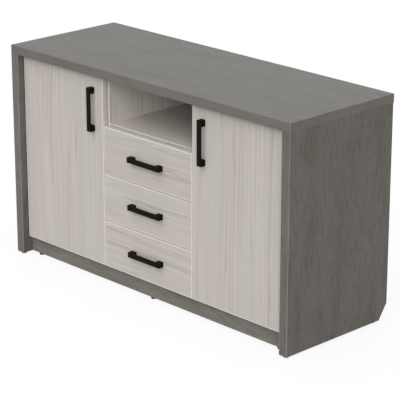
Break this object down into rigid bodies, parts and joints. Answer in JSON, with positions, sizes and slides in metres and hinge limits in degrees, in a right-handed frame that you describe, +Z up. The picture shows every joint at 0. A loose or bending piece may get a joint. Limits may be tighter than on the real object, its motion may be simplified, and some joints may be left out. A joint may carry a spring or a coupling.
{
  "type": "cabinet with mini fridge",
  "caption": "Low office sideboard with hinged doors, an open niche over drawers, and a mini fridge behind one door whose own door opens with it.",
  "frame": {"origin": "on the floor, under the middle of the top", "axes": "+X to the right along the width, +Y to the back, +Z up; the doors and drawers face -Y"},
  "size_m": [1.4, 0.5, 0.807],
  "materials": {
    "grey_laminate": "grey wood-grain laminate, satin",
    "ash_laminate": "pale ash laminate with fine streaks, satin",
    "white_board": "white laminate, satin",
    "black_metal": "matt black powder coat",
    "steel": "zinc-plated steel",
    "black_plastic": "black moulded plastic",
    "fridge_shell": "dark grey textured coat over foam",
    "fridge_white": "white vacuum-formed plastic",
    "gasket_rubber": "grey magnetic seal",
    "shelf_glass": "clear toughened glass",
    "evaporator": "anodised sheet"
  },
  "bodies": {
    "carcass": {"top_panel": "grey_laminate", "left_end_panel": "grey_laminate", "right_end_panel": "grey_laminate", "plinth_board": "grey_laminate", "rear_rail": "grey_laminate", "left_divider": "ash_laminate", "right_divider": "ash_laminate", "bottom_panel": "ash_laminate", "niche_shelf": "ash_laminate", "left_shelves": "ash_laminate", "back_panel_left": "ash_laminate", "back_panel_centre": "ash_laminate", "back_panel_right": "ash_laminate", "fridge_condenser": "black_metal", "left_pivot_plates": "steel", "right_pivot_plates": "steel", "slide_outer_members": "steel", "shelf_pins": "steel", "fridge_hinges": "steel", "glides": "black_plastic", "fridge_feet": "black_plastic", "fridge_case": "fridge_shell", "fridge_liner": "fridge_white", "thermostat_housing": "fridge_white", "fridge_shelves": "shelf_glass", "ice_compartment": "evaporator"},
    "left_door": {"left_door": "ash_laminate", "left_door_handle": "black_metal", "left_door_bushes": "black_plastic"},
    "right_door": {"right_door": "ash_laminate", "right_door_handle": "black_metal", "right_door_bushes": "black_plastic", "link_bracket": "steel"},
    "door_link": {"door_link": "steel"},
    "fridge_door": {"fridge_door_shell": "fridge_shell", "fridge_door_liner": "fridge_white", "fridge_gasket": "gasket_rubber", "link_pin_plate": "steel"},
    "thermostat_knob": {"thermostat_knob": "fridge_white"},
    "drawer_1": {"drawer_1_front": "ash_laminate", "drawer_1_handle": "black_metal", "drawer_1_sides": "white_board", "drawer_1_back": "white_board", "drawer_1_bottom": "white_board", "drawer_1_slide_inner": "steel"},
    "drawer_1_runner": {"drawer_1_slide_middle": "steel"},
    "drawer_2": {"drawer_2_front": "ash_laminate", "drawer_2_handle": "black_metal", "drawer_2_sides": "white_board", "drawer_2_back": "white_board", "drawer_2_bottom": "white_board", "drawer_2_slide_inner": "steel"},
    "drawer_2_runner": {"drawer_2_slide_middle": "steel"},
    "drawer_3": {"drawer_3_front": "ash_laminate", "drawer_3_handle": "black_metal", "drawer_3_sides": "white_board", "drawer_3_back": "white_board", "drawer_3_bottom": "white_board", "drawer_3_slide_inner": "steel"},
    "drawer_3_runner": {"drawer_3_slide_middle": "steel"}
  },
  "joints": [
    {"name": "left_door_hinge", "type": "hinge", "parent": "carcass", "child": "left_door", "pos_m": [-0.6525, -0.216, 0.42], "axis": [0, 0, -1], "range_deg": [0, 95]},
    {"name": "right_door_hinge", "type": "hinge", "parent": "carcass", "child": "right_door", "pos_m": [0.6525, -0.216, 0.42], "axis": [0, 0, 1], "range_deg": [0, 95]},
    {"name": "fridge_door_hinge", "type": "hinge", "parent": "carcass", "child": "fridge_door", "pos_m": [0.6215, -0.18, 0.42], "axis": [0, 0, 1], "range_deg": [0, 95]},
    {"name": "door_link_pivot", "type": "hinge", "parent": "right_door", "child": "door_link", "pos_m": [0.3525, -0.194, 0.6468], "axis": [0, 0, 1], "range_deg": [-95, 0]},
    {"name": "thermostat_turn", "type": "hinge", "parent": "carcass", "child": "thermostat_knob", "pos_m": [0.5707, -0.048, 0.474], "axis": [-1, 0, 0], "range_deg": [0, 270]},
    {"name": "drawer_1_slide", "type": "slide", "parent": "carcass", "child": "drawer_1", "axis": [0, -1, 0], "range_m": [0, 0.36]},
    {"name": "drawer_1_runner_slide", "type": "slide", "parent": "carcass", "child": "drawer_1_runner", "axis": [0, -1, 0], "range_m": [0, 0.18]},
    {"name": "drawer_2_slide", "type": "slide", "parent": "carcass", "child": "drawer_2", "axis": [0, -1, 0], "range_m": [0, 0.36]},
    {"name": "drawer_2_runner_slide", "type": "slide", "parent": "carcass", "child": "drawer_2_runner", "axis": [0, -1, 0], "range_m": [0, 0.18]},
    {"name": "drawer_3_slide", "type": "slide", "parent": "carcass", "child": "drawer_3", "axis": [0, -1, 0], "range_m": [0, 0.36]},
    {"name": "drawer_3_runner_slide", "type": "slide", "parent": "carcass", "child": "drawer_3_runner", "axis": [0, -1, 0], "range_m": [0, 0.18]}
  ],
  "couplings": [
    {"joint": "fridge_door_hinge", "follows": "right_door_hinge", "ratio": 1},
    {"joint": "door_link_pivot", "follows": "right_door_hinge", "ratio": -1},
    {"joint": "drawer_1_runner_slide", "follows": "drawer_1_slide", "ratio": 0.5},
    {"joint": "drawer_2_runner_slide", "follows": "drawer_2_slide", "ratio": 0.5},
    {"joint": "drawer_3_runner_slide", "follows": "drawer_3_slide", "ratio": 0.5}
  ]
}
